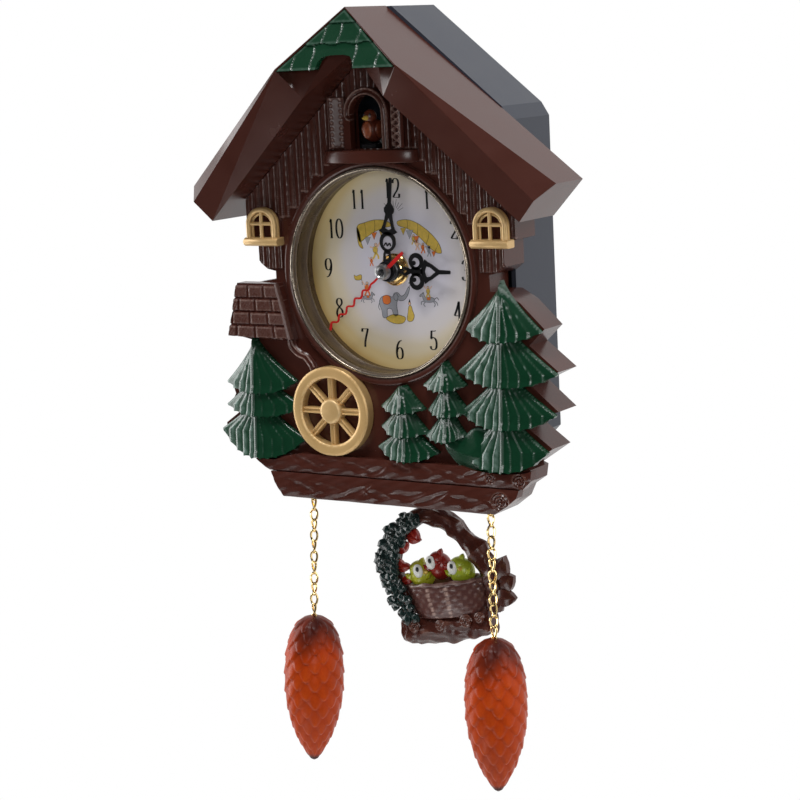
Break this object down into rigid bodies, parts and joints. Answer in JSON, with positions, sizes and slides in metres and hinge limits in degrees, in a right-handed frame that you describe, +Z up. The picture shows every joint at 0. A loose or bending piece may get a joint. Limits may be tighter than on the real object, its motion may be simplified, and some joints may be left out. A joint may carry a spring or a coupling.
{
  "type": "pendulum wall clock",
  "caption": "Chalet-shaped wall clock with round dial, three hands, sliding bird in a gable doorway, swinging nest pendulum and hanging pine cones on chains.",
  "frame": {"origin": "on the flat wall face of the rear housing, in line with the dial arbor", "axes": "+X to the viewer's right, +Y into the wall, +Z up"},
  "size_m": [0.208, 0.0878, 0.3883],
  "materials": {
    "brown": "glossy moulded brown plastic with faint wood relief",
    "green": "dark green enamel, dry-brushed pale on the raised edges",
    "bronze": "bronze lacquer on plastic, satin",
    "paper": "printed card, cream rim to pale lilac centre",
    "brass": "bright brass",
    "black": "black plastic",
    "copper": "lacquered copper winding",
    "red": "red enamel",
    "gear": "natural acetal",
    "steel": "plain steel",
    "slate": "dark blue-grey plastic, fine satin",
    "cell": "plain dark sleeve",
    "circuit": "green laminate",
    "gold_paint": "matt gold paint on plastic",
    "bark": "glossy dark red-brown plastic",
    "bird": "red-brown paint",
    "yellow": "yellow-green enamel",
    "leaf": "black-green enamel",
    "cone": "orange-red translucent-looking plastic, brown at the top"
  },
  "bodies": {
    "case": {"front_case": "brown", "roof": "brown", "gable_tiles": "green", "dial_bezel": "bronze", "dial_plate": "paper", "cuff_nut": "brass", "movement_case": "black", "movement_cover": "black", "stepper_coil": "copper", "rear_housing": "slate", "battery_tray": "black", "battery_upper": "cell", "battery_lower": "cell", "circuit_board": "circuit", "speaker": "steel", "pendulum_drive": "black", "screw_upper_left": "steel", "screw_upper_right": "steel", "screw_lower_left": "steel", "screw_lower_right": "steel", "fir_left": "green", "fir_small": "green", "fir_slim": "green", "fir_right": "green", "window_left": "gold_paint", "window_right": "gold_paint", "water_wheel": "gold_paint", "mill_roof": "brown", "upper_log": "bark", "lower_log": "bark", "balcony": "brown", "door_left": "brown", "door_right": "brown", "carriage_rail": "black", "chain_hook_left": "brass", "chain_hook_right": "brass"},
    "hour_hand": {"hour_hand": "black", "hour_wheel": "gear"},
    "minute_hand": {"minute_hand": "black", "minute_arbor": "brass"},
    "second_hand": {"second_hand": "red", "second_arbor": "steel"},
    "setting_wheel": {"minute_wheel": "gear", "set_knob": "black"},
    "pendulum": {"pendulum_rod": "steel", "branch_arch": "bark", "nest_basket": "bark", "perch_log": "bark", "chick_left": "yellow", "chick_middle": "red", "chick_right": "yellow", "leaf_wreath": "leaf"},
    "bird": {"cuckoo_bird": "bird", "bird_carriage": "black"},
    "battery_door": {"battery_door": "slate"},
    "sound_switch": {"sound_switch": "black"},
    "chain_left": {"chain_left": "brass"},
    "cone_left": {"cone_left": "cone"},
    "chain_right": {"chain_right": "brass"},
    "cone_right": {"cone_right": "cone"}
  },
  "joints": [
    {"name": "minute_turn", "type": "hinge", "parent": "case", "child": "minute_hand", "pos_m": [0, -0.0428, 0], "axis": [0, 1, 0], "continuous": true},
    {"name": "hour_turn", "type": "hinge", "parent": "case", "child": "hour_hand", "pos_m": [0, -0.0428, 0], "axis": [0, 1, 0], "continuous": true},
    {"name": "setting_turn", "type": "hinge", "parent": "case", "child": "setting_wheel", "pos_m": [0, -0.0428, -0.01], "axis": [0, 1, 0], "continuous": true},
    {"name": "second_turn", "type": "hinge", "parent": "case", "child": "second_hand", "pos_m": [0, -0.0428, 0], "axis": [0, 1, 0], "continuous": true},
    {"name": "pendulum_swing", "type": "hinge", "parent": "case", "child": "pendulum", "pos_m": [0, -0.0318, -0.092], "axis": [0, -1, 0], "range_deg": [-22, 2]},
    {"name": "bird_slide", "type": "slide", "parent": "case", "child": "bird", "axis": [0, -1, 0], "range_m": [0, 0.012]},
    {"name": "battery_door_slide", "type": "slide", "parent": "case", "child": "battery_door", "axis": [0, 0, -1], "range_m": [0, 0.014]},
    {"name": "sound_switch_slide", "type": "slide", "parent": "case", "child": "sound_switch", "axis": [1, 0, 0], "range_m": [0, 0.008]},
    {"name": "chain_left_swing", "type": "hinge", "parent": "case", "child": "chain_left", "pos_m": [-0.0523, -0.0498, -0.1182], "axis": [0, -1, 0], "range_deg": [-8, 14]},
    {"name": "cone_left_swing", "type": "hinge", "parent": "chain_left", "child": "cone_left", "pos_m": [-0.05659, -0.0498, -0.18105], "axis": [0, -1, 0], "range_deg": [-15, 15]},
    {"name": "chain_right_swing", "type": "hinge", "parent": "case", "child": "chain_right", "pos_m": [0.0523, -0.0498, -0.1182], "axis": [0, -1, 0], "range_deg": [-8, 12]},
    {"name": "cone_right_swing", "type": "hinge", "parent": "chain_right", "child": "cone_right", "pos_m": [0.0512, -0.0498, -0.18119], "axis": [0, -1, 0], "range_deg": [-15, 15]}
  ],
  "couplings": [
    {"joint": "hour_turn", "follows": "minute_turn", "ratio": 0.083333},
    {"joint": "setting_turn", "follows": "minute_turn", "ratio": -0.33333}
  ]
}
